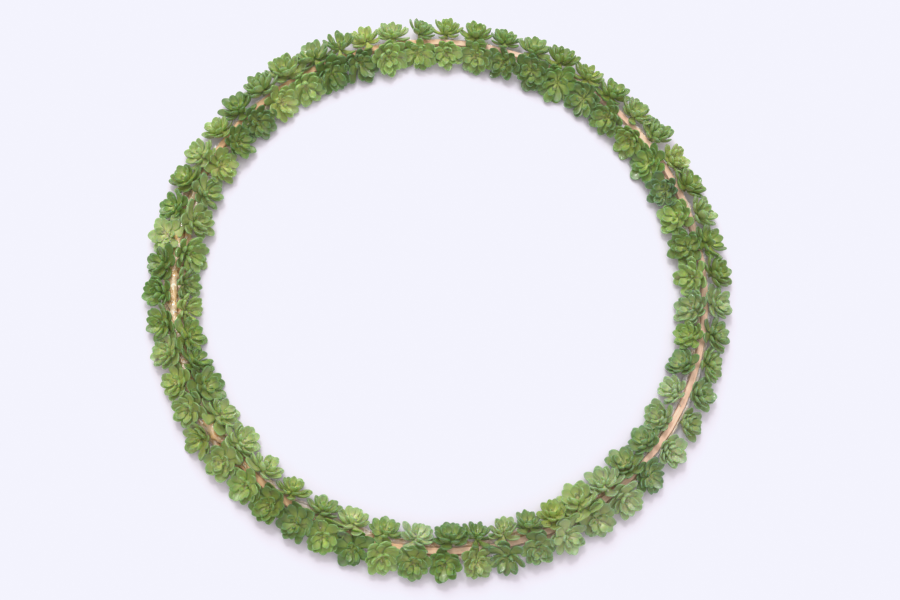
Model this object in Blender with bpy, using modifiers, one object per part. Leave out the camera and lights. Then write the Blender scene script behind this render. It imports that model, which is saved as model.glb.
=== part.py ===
"""Succulent wreath: a thin wooden hoop lies flat, standing on its edge, with a row of small moulded
succulent heads glued along its outer side and another along its inner side. The heads lean away from the
wood.

Metres, +Z up. The origin is under the middle of the hoop, on the surface that the wreath lies on.
A head's angle is in degrees clockwise from +Y, seen from above.
"""

import math
import random

import bmesh
import bpy
from mathutils import Matrix, Vector

# Wooden hoop, a strip bent round and standing on its edge
HOOP_RADIUS = 0.178
HOOP_THICKNESS = 0.004
HOOP_HEIGHT = 0.010
HOOP_STEPS = 64
SEAM_MERGE = 0.00001

# The two rows of heads. Side is +1 outside the hoop and -1 inside it.
# Drift is how many degrees the heads stand ahead of even spacing, at each hour of the clock.
ROWS = {
    "outer": {"side": 1, "drift": (1.3, 1.9, 3.0, 4.2, 5.5, 7.6, 6.5, 4.5, 3.6, 3.0, 2.3, 3.4)},
    "inner": {"side": -1, "drift": (1.5, 1.4, 3.6, 5.6, 5.2, 4.3, -0.9, -0.5, 2.6, -1.5, 0.4, 0.8)},
}

# Tone of each head in order round the row: L palest, l pale, m middle, k deep, D darkest
TONES = {
    "outer": "llmlklmlmLkLkklmlmlLDLLLmmLlmLDlkDLlmlllmkkLmkLlkkllmLLm",
    "inner": "lkDDmkkkmDmDlmmkLlDDLLmkmDDLmlmmLllkDkmDkmklDDlLDkll",
}
# A pair of heads has one colour: the mean place of its two tones in the order L, l, m, k, D is light up to
# the first bound and middle up to the second
TONE_ORDER = "LlmkD"
TONE_BOUNDS = (1.5, 2.5)

# Head: a tapered core with two tiers of spoon leaves, a bud of three small leaves and a stem stub. Widest
# is the share of a leaf's length where it is widest, and tip drop the share of its thickness that its tip
# hangs below it.
LEAVES = 6
CORE_RINGS = ((0.0024, -0.0010), (0.0027, 0.0009), (0.0022, 0.0028))
HEAD_OFFSET = 0.0087
HEAD_HEIGHT = 0.0086
HEAD_LEAN = 47.0
LOW_LEAF = {"rise": 9.0, "length": 0.0097, "width": 0.0080, "thickness": 0.0014, "curl": 0.0010}
HIGH_LEAF = {"rise": 41.0, "length": 0.0080, "width": 0.0060, "thickness": 0.0013, "curl": 0.0008}
WIDEST_AT = 0.71
TIP_DROP = 0.3
BUD_RADIUS = 0.0028
BUD_HEIGHT = 0.0083
BUD_HOLLOW = 0.0050
STEM_RADIUS = 0.0012

# How heads differ from each other. A pair with more room along the row has larger heads, and its two heads
# stand the pair spacing apart at their own scale, which lets their leaves meet.
SIZE_RANGE = (0.97, 1.04)
USUAL_ROOM = 0.0205
LARGEST_FIT = 1.07
PAIR_SPACING = 0.0209
TURN_RANGE = 7.0
LEAN_RANGE = 3.0
RISE_RANGE = 5.0
LEAF_RISE_RANGE = 2.0
LEAF_RANGE = (0.93, 1.08)
SEED = 3
BEAD_SEED = 3000

# Room kept clear. The stem ends a little more than the touch gap in front of the glue.
TOUCH_GAP = 0.0003
STEM_GAP = 0.00039
PAIR_GAP = 0.0004
LOWEST_TIP = 0.0006
ROW_GAP = 0.0007
EASE = 0.0020

# Hot glue: a lumpy bead along each side face of the hoop, and glue that ran over its top edge. The run-over
# glue narrows to the end share of its width at both ends, strays from the middle of the edge by up to the
# drift, and is between the thin share and all of its thickness.
BEAD_RADII = (0.0014, 0.0019)
BEAD_HEIGHT = 0.0046
BEAD_STAND_OFF = 0.0026
SPILL_ARC = (223.0, 296.0)
SPILL_STEPS = 18
SPILL_WIDTHS = (0.0012, 0.0022)
SPILL_THICKNESS = 0.0011
SPILL_END_SHARE = 0.35
SPILL_THIN_SHARE = 0.75
SPILL_DRIFT = 0.0004

# Colours: base colour, roughness, metallic
COLOURS = {
    "wood": ((0.95, 0.58, 0.38), 0.6, 0.0),
    "glue": ((0.85, 0.66, 0.38), 0.15, 0.0),
    "leaf_light": ((0.32, 0.50, 0.14), 0.42, 0.0),
    "leaf_mid": ((0.17, 0.33, 0.06), 0.42, 0.0),
    "leaf_dark": ((0.05, 0.15, 0.035), 0.42, 0.0),
}


def clear_scene():
    for obj in list(bpy.data.objects):
        bpy.data.objects.remove(obj)


def make_material(name):
    colour, roughness, metallic = COLOURS[name]
    material = bpy.data.materials.new(name)
    material.use_nodes = True
    shader = material.node_tree.nodes["Principled BSDF"]
    shader.inputs["Base Color"].default_value = (*colour, 1.0)
    shader.inputs["Roughness"].default_value = roughness
    shader.inputs["Metallic"].default_value = metallic
    return material


def add_object(name, data, collection, material):
    obj = bpy.data.objects.new(name, data)
    collection.objects.link(obj)
    if material:
        data.materials.append(material)
    return obj


def radial(angle):
    """Unit vector from the middle of the wreath towards a clock angle in degrees."""
    turn = math.radians(angle)
    return Vector((math.sin(turn), math.cos(turn), 0.0))


def clockwise(angle):
    return radial(angle + 90.0)


def head_angles(row):
    """Angle of each head: even spacing, moved on by the row's drift between the hours of the clock."""
    count = len(TONES[row])
    drift = ROWS[row]["drift"]
    angles = []
    for i in range(count):
        even = 360.0 * i / count
        hour, part = divmod(even / 30.0, 1.0)
        before = drift[int(hour)]
        after = drift[(int(hour) + 1) % 12]
        angles.append(even + before + (after - before) * part)
    return angles


def build_hoop(collection, material):
    """The strip's section, turned once round the Z axis."""
    outer = HOOP_RADIUS + HOOP_THICKNESS / 2
    inner = HOOP_RADIUS - HOOP_THICKNESS / 2
    mesh = bpy.data.meshes.new("hoop")
    corners = ((outer, 0.0, HOOP_HEIGHT), (outer, 0.0, 0.0), (inner, 0.0, 0.0), (inner, 0.0, HOOP_HEIGHT))
    mesh.from_pydata(corners, ((0, 1), (1, 2), (2, 3), (3, 0)), ())
    hoop = add_object("hoop", mesh, collection, material)
    screw = hoop.modifiers.new("turn", "SCREW")
    screw.angle = math.tau
    screw.steps = HOOP_STEPS
    screw.render_steps = HOOP_STEPS
    screw.use_merge_vertices = True
    screw.merge_threshold = SEAM_MERGE
    return hoop


def bead_radius(row, index):
    """Half thickness of the glue bead behind one head."""
    draw = random.Random(BEAD_SEED + index * 2 + (row == "inner"))
    return draw.uniform(*BEAD_RADII)


def bead_centre(row, index, angle):
    off = BEAD_STAND_OFF + bead_radius(row, index)
    return radial(angle) * (HOOP_RADIUS + ROWS[row]["side"] * off) + Vector((0.0, 0.0, BEAD_HEIGHT))


def glue_curve(name, points, radii):
    """Closed run of glue through the points, thick or thin as the radii say."""
    curve = bpy.data.curves.new(name, "CURVE")
    curve.dimensions = "3D"
    spline = curve.splines.new("POLY")
    spline.points.add(len(points) - 1)
    for point, place, radius in zip(spline.points, points, radii):
        point.co = (*place, 1.0)
        point.radius = radius / BEAD_RADII[1]
    spline.use_cyclic_u = True
    curve.bevel_depth = BEAD_RADII[1]
    curve.bevel_resolution = 0
    curve.use_fill_caps = True
    return curve


def build_glue_bead(row, angles, collection, material):
    """One lump of glue behind each head, run together along the hoop's side face."""
    points = [bead_centre(row, i, angle) for i, angle in enumerate(angles)]
    radii = [bead_radius(row, i) for i in range(len(angles))]
    return add_object("glue_" + row, glue_curve("glue_" + row, points, radii), collection, material)


def build_glue_spill(collection, material):
    """Low lumpy cap of glue on the hoop's top edge, lofted along part of the ring."""
    draw = random.Random(SEED)
    bm = bmesh.new()
    floor = HOOP_HEIGHT + TOUCH_GAP
    sections = []
    for i in range(SPILL_STEPS + 1):
        share = i / SPILL_STEPS
        angle = SPILL_ARC[0] + (SPILL_ARC[1] - SPILL_ARC[0]) * share
        swell = SPILL_END_SHARE + (1.0 - SPILL_END_SHARE) * math.sqrt(math.sin(math.pi * share))
        half = draw.uniform(*SPILL_WIDTHS) * swell
        crown = SPILL_THICKNESS * draw.uniform(SPILL_THIN_SHARE, 1.0)
        shift = draw.uniform(-SPILL_DRIFT, SPILL_DRIFT)
        out = radial(angle)
        section = [out * (HOOP_RADIUS + shift + side) + Vector((0.0, 0.0, height))
                   for side, height in ((-half, floor), (half, floor), (0.0, floor + crown))]
        sections.append([bm.verts.new(co) for co in section])
    for first, second in zip(sections, sections[1:]):
        for j, corner in enumerate(first):
            k = (j + 1) % len(first)
            bm.faces.new((corner, first[k], second[k], second[j]))
    bm.faces.new(sections[0][::-1])
    bm.faces.new(sections[-1])
    bmesh.ops.recalc_face_normals(bm, faces=bm.faces)
    mesh = bpy.data.meshes.new("glue_top")
    bm.to_mesh(mesh)
    bm.free()
    return add_object("glue_top", mesh, collection, material)


def add_ring(bm, count, radius, height, turn):
    verts = []
    for i in range(count):
        at = math.radians(turn) + math.tau * i / count
        verts.append(bm.verts.new((radius * math.cos(at), radius * math.sin(at), height)))
    return verts


def add_band(bm, lower, upper):
    """Zigzag of triangles between two rings of the core. Returns those that leaves grow from."""
    roots = []
    for i, corner in enumerate(lower):
        after = lower[(i + 1) % len(lower)]
        bm.faces.new((corner, after, upper[i]))
        roots.append(bm.faces.new((corner, upper[i], upper[i - 1])))
    return roots


def grow_leaf(bm, root, azimuth, shape, scale, extra_rise):
    """Draws one spoon leaf out of a triangle of the core: wide past its middle, keeled below, tip curled."""
    rise = math.radians(shape["rise"] + extra_rise)
    out = Vector((math.cos(azimuth) * math.cos(rise), math.sin(azimuth) * math.cos(rise), math.sin(rise)))
    across = Vector((-math.sin(azimuth), math.cos(azimuth), 0.0))
    above = out.cross(across)
    start = (root.verts[1].co + root.verts[2].co) / 2
    length = shape["length"] * scale
    half = shape["width"] * scale / 2
    wide = bmesh.ops.extrude_discrete_faces(bm, faces=[root])["faces"][0]
    middle = start + out * length * WIDEST_AT
    wide.verts[0].co = middle - above * shape["thickness"]
    wide.verts[1].co = middle + across * half
    wide.verts[2].co = middle - across * half
    tip = bmesh.ops.poke(bm, faces=[wide])["verts"][0]
    tip.co = start + out * length + above * (shape["curl"] - shape["thickness"] * TIP_DROP)


def add_bud(bm, top):
    """Three small upright leaves round a hollow, on the core's top ring."""
    tips = []
    for i in range(0, LEAVES, 2):
        out = Vector((top[i].co.x, top[i].co.y, 0.0)).normalized()
        tips.append(bm.verts.new(out * BUD_RADIUS + Vector((0.0, 0.0, BUD_HEIGHT))))
    hollow = bm.verts.new((0.0, 0.0, BUD_HOLLOW))
    for j, tip in enumerate(tips):
        after = tips[(j + 1) % len(tips)]
        bm.faces.new((top[2 * j - 1], top[2 * j], tip))
        bm.faces.new((top[2 * j], top[2 * j + 1], tip))
        bm.faces.new((top[2 * j + 1], after, tip))
        bm.faces.new((tip, after, hollow))


def add_stem(bm, base, end):
    """Three-sided stub from the core's lowest ring to a point in front of the glue."""
    along = end.normalized()
    side = along.cross(Vector((1.0, 0.0, 0.0))).normalized()
    ring = []
    for j in range(3):
        turned = Matrix.Rotation(math.tau * j / 3, 3, along) @ side
        ring.append(bm.verts.new(end + turned * STEM_RADIUS))
    ring.sort(key=lambda vert: math.atan2(vert.co.y, vert.co.x))
    order = sorted(range(LEAVES), key=lambda i: math.atan2(base[i].co.y, base[i].co.x))
    base = [base[i] for i in order]
    for j, vert in enumerate(ring):
        after = ring[(j + 1) % 3]
        first, second, third = base[2 * j], base[2 * j + 1], base[(2 * j + 2) % LEAVES]
        bm.faces.new((vert, second, first))
        bm.faces.new((vert, third, second))
        bm.faces.new((vert, after, third))
    bm.faces.new(ring[::-1])


def build_head(draw, stem_end):
    """One head as a closed mesh, its axis along +Z and its lowest leaves at the origin's height."""
    bm = bmesh.new()
    step = 360.0 / LEAVES
    turn = draw.uniform(-TURN_RANGE, TURN_RANGE)
    rings = [add_ring(bm, LEAVES, radius, height, turn + step * i / 2)
             for i, (radius, height) in enumerate(CORE_RINGS)]
    lean_out = draw.uniform(-RISE_RANGE, RISE_RANGE)
    for tier, shape in enumerate((LOW_LEAF, HIGH_LEAF)):
        roots = add_band(bm, rings[tier], rings[tier + 1])
        for i, root in enumerate(roots):
            azimuth = math.radians(turn + step * (i + tier / 2))
            scale = draw.uniform(*LEAF_RANGE)
            rise = lean_out + draw.uniform(-LEAF_RISE_RANGE, LEAF_RISE_RANGE)
            grow_leaf(bm, root, azimuth, shape, scale, rise)
    add_bud(bm, rings[-1])
    add_stem(bm, rings[0], stem_end)
    bmesh.ops.triangulate(bm, faces=bm.faces)
    return bm


def held_back(value, limit):
    """Value, eased so that it never passes limit."""
    bend = limit - EASE
    if value <= bend:
        return value
    return limit - EASE * math.exp((bend - value) / EASE)


def keep_clear(bm, row, angle, before, after):
    """Bends the leaves clear of the surface below, of the other row and of the heads of other pairs."""
    side = ROWS[row]["side"]
    for vert in bm.verts:
        co = vert.co
        distance = math.hypot(co.x, co.y)
        turn = (math.degrees(math.atan2(co.x, co.y)) - angle + 180.0) % 360.0 - 180.0
        along = math.radians(turn) * distance
        if after is not None:
            along = held_back(along, math.radians(after - angle) * distance - PAIR_GAP / 2)
        if before is not None:
            along = -held_back(-along, math.radians(angle - before) * distance - PAIR_GAP / 2)
        off = -held_back(-side * (distance - HOOP_RADIUS), -ROW_GAP / 2)
        height = -held_back(-co.z, -LOWEST_TIP)
        if height > HOOP_HEIGHT:
            distance = HOOP_RADIUS + side * off
        place = radial(angle + math.degrees(along / distance)) * distance
        vert.co = (place.x, place.y, height)


def head_mesh(row, index, angle, fit, pull, before, after):
    """One head in its place: leaning away from the hoop, its stem reaching back to the glue."""
    side = ROWS[row]["side"]
    draw = random.Random(SEED + index * 2 + (row == "inner"))
    size = draw.uniform(*SIZE_RANGE) * fit
    lean = math.radians(HEAD_LEAN + draw.uniform(-LEAN_RANGE, LEAN_RANGE))
    out = radial(angle) * side
    axis = out * math.sin(lean) + Vector((0.0, 0.0, math.cos(lean)))
    along = clockwise(angle)
    place = radial(angle) * (HOOP_RADIUS + side * HEAD_OFFSET) + Vector((0.0, 0.0, HEAD_HEIGHT))
    place += along * pull
    turned = Matrix((along, axis.cross(along), axis)).transposed().to_4x4()
    seat = Matrix.Translation(place) @ turned @ Matrix.Scale(size, 4)
    centre = bead_centre(row, index, angle)
    reach = bead_radius(row, index) * math.sqrt(0.5) + STEM_GAP
    stem_end = centre + (place - centre).normalized() * reach
    bm = build_head(draw, seat.inverted() @ stem_end)
    bm.transform(seat)
    bmesh.ops.recalc_face_normals(bm, faces=bm.faces)
    keep_clear(bm, row, angle, before, after)
    mesh = bpy.data.meshes.new(f"head_{row}_{index + 1:02d}")
    bm.to_mesh(mesh)
    bm.free()
    return mesh


def pair_tone(tones):
    """The colour that stands for a pair of heads."""
    depth = sum(TONE_ORDER.index(tone) for tone in tones) / len(tones)
    if depth < TONE_BOUNDS[0]:
        return "leaf_light"
    if depth < TONE_BOUNDS[1]:
        return "leaf_mid"
    return "leaf_dark"


def build_pair(row, first, angles, collection, materials):
    """Two neighbouring heads, whose leaves run into each other, joined in one body."""
    count = len(angles)
    before = angles[first - 1] - (360.0 if first == 0 else 0.0)
    after = angles[(first + 2) % count] + (360.0 if first + 2 == count else 0.0)
    opening = (before + angles[first]) / 2
    closing = (after + angles[first + 1]) / 2
    room = math.radians(angles[first + 1] - angles[first]) * (HOOP_RADIUS + ROWS[row]["side"] * HEAD_OFFSET)
    fit = min(room / USUAL_ROOM, LARGEST_FIT)
    pull = (room - PAIR_SPACING * fit) / 2
    one = head_mesh(row, first, angles[first], fit, pull, opening, None)
    two = head_mesh(row, first + 1, angles[first + 1], fit, -pull, None, closing)
    name = f"rosettes_{row}_{first // 2 + 1:02d}"
    tone = pair_tone(TONES[row][first:first + 2])
    pair = add_object(name, one, collection, materials[tone])
    partners = bpy.data.collections.new("partners")
    bpy.context.scene.collection.children.link(partners)
    partner = add_object("partner", two, partners, None)
    union = pair.modifiers.new("join", "BOOLEAN")
    union.operation = "UNION"
    union.operand_type = "COLLECTION"
    union.collection = partners
    apply_modifiers(pair)
    bpy.data.objects.remove(partner)
    bpy.data.collections.remove(partners)
    return pair


def apply_modifiers(obj):
    """Replaces an object's mesh with what its modifiers make of it."""
    graph = bpy.context.evaluated_depsgraph_get()
    mesh = bpy.data.meshes.new_from_object(obj.evaluated_get(graph))
    obj.modifiers.clear()
    obj.data = mesh


def build_wreath():
    clear_scene()
    collection = bpy.data.collections.new("succulent_wreath")
    bpy.context.scene.collection.children.link(collection)
    materials = {name: make_material(name) for name in COLOURS}
    build_hoop(collection, materials["wood"])
    build_glue_spill(collection, materials["glue"])
    for row in ROWS:
        angles = head_angles(row)
        build_glue_bead(row, angles, collection, materials["glue"])
        for first in range(0, len(angles), 2):
            build_pair(row, first, angles, collection, materials)


build_wreath()
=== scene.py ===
"""Looks of the succulent wreath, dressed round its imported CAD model.

Every head is modelled leaf by leaf in the place of its CAD body. The wooden hoop keeps its CAD body, and
the hot glue is modelled in the place of its CAD beads. Metres, +Z up, angles in degrees clockwise from +Y
seen from above.
"""

import math
import random

import bmesh
import bpy
from mathutils import Matrix, Vector, noise


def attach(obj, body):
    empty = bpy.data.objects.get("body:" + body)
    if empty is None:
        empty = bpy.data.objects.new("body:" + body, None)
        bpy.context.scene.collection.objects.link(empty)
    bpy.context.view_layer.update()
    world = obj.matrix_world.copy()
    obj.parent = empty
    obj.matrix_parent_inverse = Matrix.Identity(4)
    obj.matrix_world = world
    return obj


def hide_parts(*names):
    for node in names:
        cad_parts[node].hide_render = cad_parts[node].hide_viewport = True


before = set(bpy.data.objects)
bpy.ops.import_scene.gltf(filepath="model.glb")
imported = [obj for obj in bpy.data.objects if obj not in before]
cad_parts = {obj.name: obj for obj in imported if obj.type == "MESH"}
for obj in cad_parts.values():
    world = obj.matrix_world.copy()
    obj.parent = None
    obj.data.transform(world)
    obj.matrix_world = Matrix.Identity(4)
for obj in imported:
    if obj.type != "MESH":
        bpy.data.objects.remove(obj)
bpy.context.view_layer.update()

# Camera, at the photograph's view of the wreath
CAMERA_AIM = Vector((0.00514, -0.01035, 0.0))
CAMERA_RISE = 72.55
CAMERA_TURN = -15.23
CAMERA_ROLL = 15.23
CAMERA_DISTANCE = 0.8418
CAMERA_LENS = 50.0
SENSOR_WIDTH = 36.0

# Floor and light. The window lights the wreath from its far side and the ceiling from above, and the
# small glint lamp gives the highlights on the leaves and the glue.
FLOOR_SIZE = 8.0
FLOOR_COLOUR = (0.79, 0.775, 0.84)
SKY_COLOUR = (1.0, 0.905, 0.965)
SKY_STRENGTH = 0.79
LAMPS = {
    "window": {
        "colour": (0.97, 0.98, 1.0), "power": 17.5, "size": 1.25,
        "turn": -14.0, "rise": 52.0, "distance": 2.0,
    },
    "glint": {
        "colour": (1.0, 1.0, 1.0), "power": 11.0, "size": 0.22,
        "turn": -22.0, "rise": 64.0, "distance": 3.0,
    },
    "ceiling": {
        "colour": (0.97, 0.98, 1.0), "power": 17.0, "size": 2.2,
        "turn": -14.0, "rise": 84.0, "distance": 2.6,
    },
}
# The film's curve for red, green and blue: from a lifted black straight up to the knee, then levelling
# off at the white of the floor. Knee and reach are shares of that white.
FILM_WHITE = (0.898, 0.898, 0.984)
FILM_KNEE = 0.93
FILM_REACH = 1.06
FILM_BLACK = (0.018, 0.018, 0.010)

# The hoop, at the place of its CAD body. Points nearer than the weld are joined, and edges that turn by
# more than the sharp angle (degrees) are eased.
HOOP_RADIUS = 0.178
HOOP_THICKNESS = 0.004
HOOP_HEIGHT = 0.010
HOOP_WELD = 0.00002
HOOP_CORNER = 0.0004
SHARP_ANGLE = 40.0

# The two rows of heads, at the places of their CAD bodies. Side is 1 outside the hoop and -1 inside it,
# and offset how far the heads stand off its middle line. Each list has one value for each hour of the
# clock, from twelve on: drift (degrees) is how far a head stands from even spacing, growth its size,
# lean (degrees) how far it leans off the hoop, upright (degrees) how much more steeply its leaves
# stand, hoopward (percent) how much longer its leaves are on the side of the hoop, droop (degrees) how
# far the lowest of those hang down, and width (percent) how wide its leaves are.
HEAD_HEIGHT = 0.0086
ROWS = {
    "outer": {
        "side": 1, "offset": 0.0075,
        "drift": (1.3, 1.9, 3.0, 4.2, 5.5, 7.6, 6.5, 4.5, 3.6, 3.0, 2.3, 3.4),
        "growth": (0.98, 1.06, 1.10, 1.06, 1.01, 1.01, 1.05, 1.12, 1.06, 1.07, 1.02, 1.20),
        "lean": (37, 38, 40, 41, 40, 34, 29, 28, 32, 37, 39, 37),
        "upright": (11, 10, 8, 5, 2, -4, -9, -8, -3, 2, 7, 10),
        "hoopward": (13, -4, -12, 26, -24, 50, 20, 26, 34, 18, 8, 10),
        "droop": (18, 16, 12, 6, 0, 0, 0, 0, 0, 4, 10, 16),
        "width": (90, 90, 91, 94, 99, 104, 106, 106, 103, 99, 94, 90),
    },
    "inner": {
        "side": -1, "offset": 0.0076,
        "drift": (1.5, 1.4, 3.6, 5.6, 5.2, 4.3, -0.9, -0.5, 2.6, -1.5, 0.4, 0.8),
        "growth": (1.09, 1.26, 1.11, 1.14, 1.10, 1.24, 1.01, 0.94, 1.13, 1.18, 1.02, 1.30),
        "lean": (42, 42, 42, 42, 43, 44, 44, 44, 44, 45, 43, 42),
        "upright": (0, 0, 0, 1, 3, 4, 4, 4, 4, 3, 1, 0),
        "hoopward": (-10, -14, -24, 12, -34, 38, 18, 14, 33, 30, 6, -10),
        "droop": (0, 0, 0, 0, 4, 10, 14, 10, 4, 0, 0, 0),
        "width": (90, 90, 90, 91, 94, 97, 96, 96, 95, 93, 91, 90),
    },
}

# One letter for each head. Tones run from light (L, l) through middle (m, k) to dark (D).
TONES = {
    "outer": "lmkmkmklmLklkklkmmmLDLlLmklkkLDlDDllmlllkkDLkkLlDmlmmLLm",
    "inner": "LmDDkDkmkDlkLllkLlkkLLlklDDLmLmmLLlkDkLmllmlDDLLDDLl",
}
TINTS = {
    "outer": "yy..wwy..ww.ywbp.bpbbbbbbb.c.ccc.wc.w.y.ycy.cw.yy....w..",
    "inner": "c...c..ycbc.cbcbbbbpb.wpp..b...w....yyy.c..yy.ycc.cc",
}
HABITS = {
    "outer": "s...s...c................u..........a....c.f.....c..s..u",
    "inner": "....o...o..............c.s............ttt...........",
}
# A habit names only what it changes. Tilt, lean and rise (degrees), hoopward (percent) and away (metres
# off the hoop) are added to the head's own, and width and length are factors of its leaves.
USUAL_HABIT = {
    "tilt": 0.0, "lean": 0.0, "rise": 0.0, "width": 1.00, "length": 1.00, "hoopward": 0.0, "away": 0.0,
}
HABIT_CHANGES = {
    # Usual, spiky, cupped, open and facing up
    ".": {},
    "s": {"tilt": -4.0, "rise": 9.0, "width": 0.76, "length": 1.06},
    "c": {"rise": 10.0, "width": 0.95, "length": 0.98},
    "o": {"lean": -4.0, "rise": -8.0, "width": 1.05, "length": 1.04},
    "f": {"lean": -24.0, "rise": -6.0, "width": 1.12, "length": 1.10},
    # Turned along the hoop, backwards and onwards, and leaning away from it
    "t": {"tilt": -24.0, "lean": 4.0, "rise": 4.0, "width": 0.84, "length": 1.06},
    "u": {"tilt": 24.0, "lean": 4.0, "rise": 4.0, "width": 0.84, "length": 1.06},
    "a": {"lean": 12.0, "rise": -4.0, "width": 0.88, "length": 1.10, "hoopward": -50.0, "away": 0.0026},
}

# How two heads share the room of their CAD pair
PAIR_OFFSET = 0.0082
PAIR_SPACING = 0.0209
USUAL_ROOM = 0.0205
LARGEST_FIT = 1.07

# How far a head and its leaves stray from their row and habit: angles in degrees, hoopward in percent,
# pointed from 0 for a round tip, and the rest factors
SIZE_RANGE = (0.97, 1.04)
LEAN_RANGE = 3.0
EXTRA_LEAN = 8.0
SIDE_TILT = 13.0
TURN_RANGE = 36.0
RISE_RANGE = 7.0
HOOPWARD_RANGE = 14.0
WIDTH_RANGE = (0.92, 1.08)
POINTED_RANGE = (0.0, 0.18)
LEAF_RANGE = (0.88, 1.10)
LEAF_WIDTH_RANGE = (0.93, 1.07)
LEAF_ROLL = 15.0
LEAF_SWAY = 6.0
# A leaf that is longer on the side of the hoop widens by this share of what it gains in length. Only
# the outer tiers have such leaves.
LONG_LEAF_BREADTH = 0.7
LONG_LEAF_TIERS = 2

# Seeds of the random draws. Each kind of draw has its own factor of the seed.
SEED = 3
POSE_DRAW = 1
HABIT_DRAW = 500
BEAD_DRAW = 1000
STRING_DRAW = 77

# Tiers of leaves from the outside in, all rising from one star at the middle of the head. Turn is how far
# a tier is turned on, as a share of the step between two leaves, start is radius and height of the root
# and rise (degrees) how steeply a leaf stands. Loose and lively (degrees) are how far its turn and rise
# stray, and upright is the tier's share of the row's own. A leaf is a spoon: neck is how narrow its root
# is, cup how far the bowl's margins stand up, bow how far its middle sags and hook how far its tip turns
# up.
TIERS = (
    {
        "count": 7, "turn": 0.0, "loose": 11.0, "start": (0.0006, -0.0003), "rise": 12.0, "lively": 5.0,
        "upright": 0.5, "length": 0.0114, "width": 0.0067, "neck": 0.30, "thickness": 0.0016, "cup": 0.28,
        "bow": 0.0008, "hook": 0.0018,
    },
    {
        "count": 7, "turn": 0.5, "loose": 11.0, "start": (0.0006, 0.0005), "rise": 21.0, "lively": 7.0,
        "upright": 0.8, "length": 0.0099, "width": 0.0058, "neck": 0.28, "thickness": 0.0015, "cup": 0.34,
        "bow": 0.0009, "hook": 0.0018,
    },
    {
        "count": 5, "turn": 0.1, "loose": 18.0, "start": (0.0006, 0.0010), "rise": 43.0, "lively": 9.0,
        "upright": 0.9, "length": 0.0080, "width": 0.0046, "neck": 0.30, "thickness": 0.0016, "cup": 0.50,
        "bow": 0.0007, "hook": 0.0010,
    },
    {
        "count": 3, "turn": 0.6, "loose": 24.0, "start": (0.0004, 0.0006), "rise": 54.0, "lively": 12.0,
        "upright": 0.6, "length": 0.0042, "width": 0.0026, "neck": 0.34, "thickness": 0.0012, "cup": 0.50,
        "bow": 0.0004, "hook": 0.0006,
    },
)

# Form of a leaf. Stations are places along it: of its neck as shares of the way to its widest place, of
# its tip as shares of the rest. Bands are shares of its length: where the bowl opens, where the neck
# stops being crowned and where the edge takes in the whole tip.
NECK_STATIONS = (0.0, 0.25, 0.5, 0.72, 0.88, 1.0)
TIP_STATIONS = (0.34, 0.62, 0.83, 0.95)
LEAF_AROUND = 12
LEAST_WIDEST = 0.42
NECK_FLARE = 0.1
END_ROUNDNESS = 2.2
END_FULLNESS = 0.5
POINTED_FULLNESS = 0.35
HOOK_POWER = 3.4
BOWL_BAND = (0.25, 0.75)
NECK_BAND = (0.15, 0.5)
NECK_CROWN = 0.10
THIN_END = 1.10
THINNEST = 0.05
UPPER_SWELL = 0.75
LOWER_SWELL = 1.25
TIP_EDGE_BAND = (0.72, 1.0)
ROOT_SINK = 0.0003
SMALL_STEP = 0.01

# Core and stem of a head, with the values that the leaf's finish reads there. Their edge and upper values
# give them some of the painted shade of the leaves' margins and undersides.
CORE_RINGS = ((0.0, -0.0014), (0.0014, -0.0011), (0.0014, 0.0002), (0.0010, 0.0008), (0.0, 0.0009))
CORE_AROUND = 12
CORE_LOOK = {"along": 0.1, "edge": 0.5, "upper": 0.4, "shade": 0.4, "tier": 0.3}
STEM_RADII = (0.0017, 0.0013, 0.0014)
STEM_AROUND = 8
STEM_LOOK = {"along": 0.0, "edge": 0.6, "upper": 0.2, "shade": 0.3, "tier": 0.0}
STEM_PAST_END = 0.0005

# The bead of glue that a head's stem ends in, as in the CAD model
BEAD_RADII = (0.0014, 0.0019)
BEAD_HEIGHT = 0.0046
BEAD_STAND_OFF = 0.0026
STEM_IN_BEAD = 0.5

# Room kept clear round a head
NEIGHBOUR_OVERLAP = 0.0034
ROW_OVERLAP = 0.0034
LOWEST_TIP = 0.0005
EASE = 0.0022

# Places of the glue on the clock: the stretch where it ran over the hoop, its largest lump with how far
# that reaches, the beige stretch on the inner side and the clear drop in it. Edges are how softly they
# end.
SPILL_ARC = (223.0, 296.0)
SPILL_EDGE = 6.0
LARGEST_LUMP = 235.5
LUMP_REACH = 6.5
BEIGE_ARC = (142.0, 214.0)
BEIGE_EDGE = 8.0
CLEAR_DROP = (167.6, 171.2)
CLEAR_EDGE = 1.0

# Glue along the side faces of the hoop. Half is half its width and tall half its height. The gaps set
# the noise of the two faces apart, and the shift its slumps from its swells.
GLUE_STEPS = 640
GLUE_AROUND = 14
GLUE_HEIGHT = 0.0046
GLUE_HALF = 0.0012
GLUE_HALF_SWELL = 0.0009
GLUE_SQUEEZE = 0.0003
GLUE_TALL = 0.0025
GLUE_SLUMP = 0.0012
EXTRA_GLUE = 0.0012
GLUE_GRIP = 0.0002
GLUE_SWELLS = 26.0
GLUE_SWELL_GAP = 7.0
GLUE_SLUMPS = 0.6
GLUE_SLUMP_SHIFT = 9.0
GLUE_RIPPLES = 90.0
GLUE_RIPPLE_TURN = 1.3
GLUE_RIPPLE_GAP = 20.0
GLUE_ROUGH = 0.22
AMBER_WARMTH = 0.8
BEIGE_WARMTH = 0.55

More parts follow.
